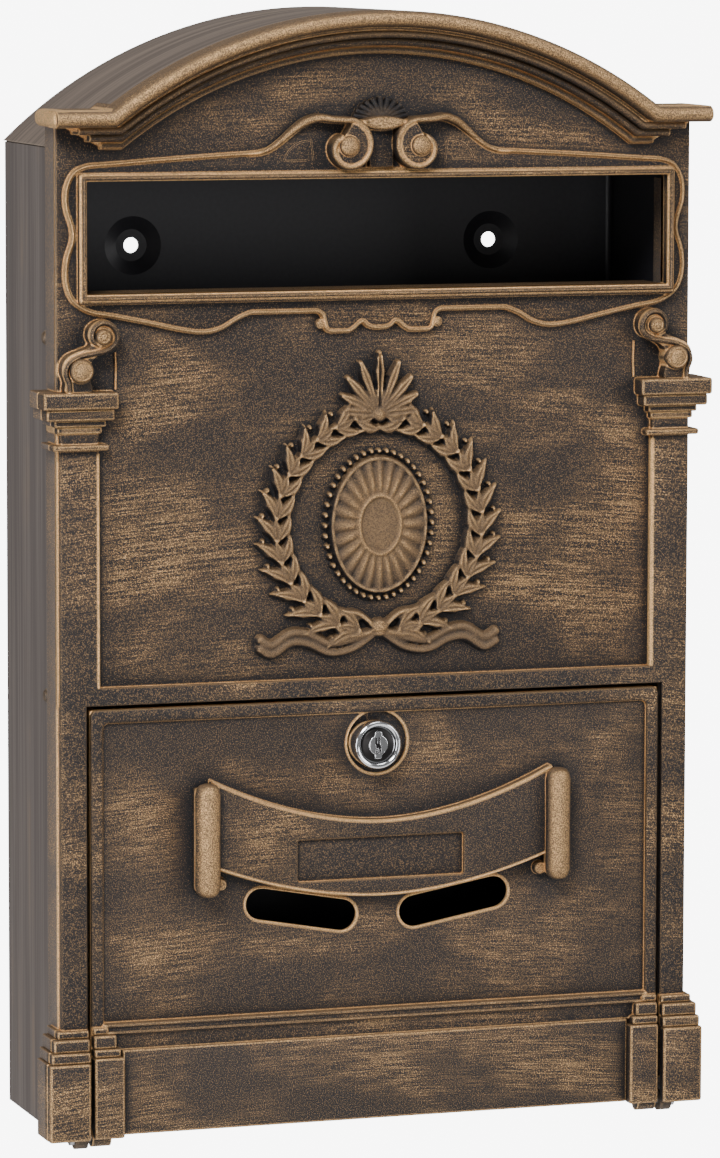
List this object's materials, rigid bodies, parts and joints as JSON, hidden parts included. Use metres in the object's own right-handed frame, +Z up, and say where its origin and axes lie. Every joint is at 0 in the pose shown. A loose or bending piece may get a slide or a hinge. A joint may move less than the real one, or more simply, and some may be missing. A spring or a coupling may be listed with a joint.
{
  "type": "wall mounted mailbox",
  "caption": "Wall mounted mailbox with an arched roof, a cast front with a letter slot and crest, and a lockable drop-down door.",
  "frame": {"origin": "centre of the four wall holes, on the plane of the wall", "axes": "+Z up, -Y out of the front, +Y into the wall, +X to the right as seen from the front"},
  "size_m": [0.2576, 0.0958, 0.414],
  "materials": {
    "cast_bronze": "antique bronze: dark textured paint with golden brushed highlights",
    "sheet_bronze": "brushed antique bronze paint, satin",
    "sheet_dark": "matt near-black paint",
    "rivet": "painted rivet, satin",
    "bracket": "antique bronze paint, satin",
    "steel": "zinc plated",
    "lock_chrome": "polished chrome"
  },
  "bodies": {
    "housing": {"front_casting": "cast_bronze", "body_shell": "sheet_bronze", "roof_sheet": "sheet_bronze", "floor_pan": "sheet_dark", "side_rivets": "rivet", "hinge_bracket_left": "bracket", "hinge_bracket_right": "bracket", "bracket_rivets": "rivet", "hinge_pin_left": "steel", "hinge_pin_right": "steel"},
    "door": {"door_casting": "cast_bronze", "lock_barrel": "lock_chrome", "lock_nut": "steel"},
    "plug": {"lock_plug": "lock_chrome", "cam_washer": "steel", "lock_cam": "steel", "cam_screw": "steel"}
  },
  "joints": [
    {"name": "door_swing", "type": "hinge", "parent": "housing", "child": "door", "pos_m": [0, -0.0797, -0.1812], "axis": [1, 0, 0], "range_deg": [0, 165]},
    {"name": "lock_turn", "type": "hinge", "parent": "door", "child": "plug", "pos_m": [-0.0027, -0.0827, -0.0397], "axis": [0, 1, 0], "range_deg": [0, 90]}
  ]
}
